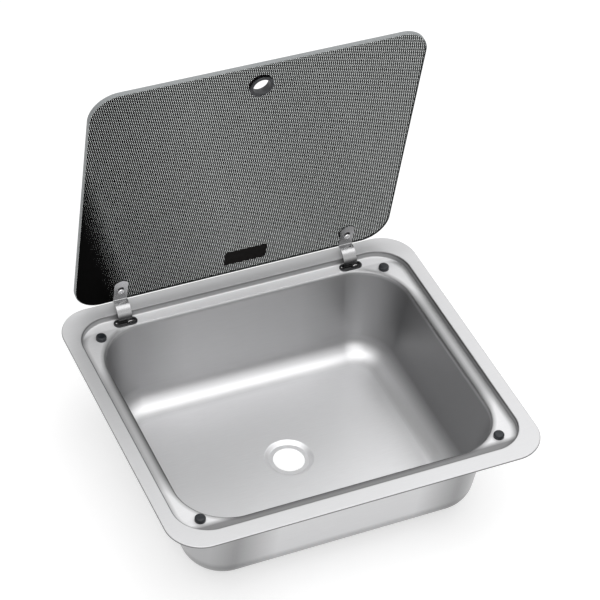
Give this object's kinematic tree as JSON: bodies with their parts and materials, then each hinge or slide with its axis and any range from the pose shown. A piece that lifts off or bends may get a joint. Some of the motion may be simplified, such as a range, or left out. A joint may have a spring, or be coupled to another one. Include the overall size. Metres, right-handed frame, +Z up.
{
  "type": "rv sink with glass lid",
  "caption": "Drop-in stainless steel camper sink with a recessed ledge and a hinged, dot-printed black glass lid shown open.",
  "frame": {"origin": "centre of the rim, in the worktop plane that the rim's turned-down edge rests on", "axes": "+Z up, out of the worktop; +Y to the back, towards the hinges; +X to the right as seen by the user at the front"},
  "size_m": [0.42, 0.37, 0.4514],
  "materials": {
    "basin_steel": "satin pressed stainless steel",
    "strap_steel": "fine satin stainless steel strip",
    "bracket_steel": "plain stainless sheet",
    "bright_steel": "bright turned steel",
    "spring_steel": "drawn spring wire",
    "lid_glass": "toughened glass with a black dot print on the lower face",
    "black_rubber": "moulded black rubber",
    "black_plastic": "moulded black plastic"
  },
  "bodies": {
    "basin": {"basin": "basin_steel", "bumper_front_left": "black_rubber", "bumper_front_right": "black_rubber", "bumper_back_left": "black_rubber", "bumper_back_right": "black_rubber", "slot_liner_left": "black_plastic", "hinge_bracket_left": "bracket_steel", "hinge_pin_left": "bright_steel", "hinge_spring_left": "spring_steel", "hinge_housing_left": "black_plastic", "slot_liner_right": "black_plastic", "hinge_bracket_right": "bracket_steel", "hinge_pin_right": "bright_steel", "hinge_spring_right": "spring_steel", "hinge_housing_right": "black_plastic"},
    "lid": {"glass_lid": "lid_glass", "finger_ring": "black_rubber", "hinge_arm_left": "strap_steel", "tab_pad_left": "black_plastic", "tab_screw_left": "bright_steel", "cap_nut_left": "bright_steel", "cap_bush_left": "black_plastic", "hinge_arm_right": "strap_steel", "tab_pad_right": "black_plastic", "tab_screw_right": "bright_steel", "cap_nut_right": "bright_steel", "cap_bush_right": "black_plastic"}
  },
  "joints": [
    {"name": "lid_hinge", "type": "hinge", "parent": "basin", "child": "lid", "pos_m": [0, 0.17545, -0.00595], "axis": [1, 0, 0], "range_deg": [0, 81.5], "stiffness_Nm_per_rad": 1, "springref_deg": -34.38, "deforming": ["hinge_spring_left", "hinge_spring_right"]}
  ]
}
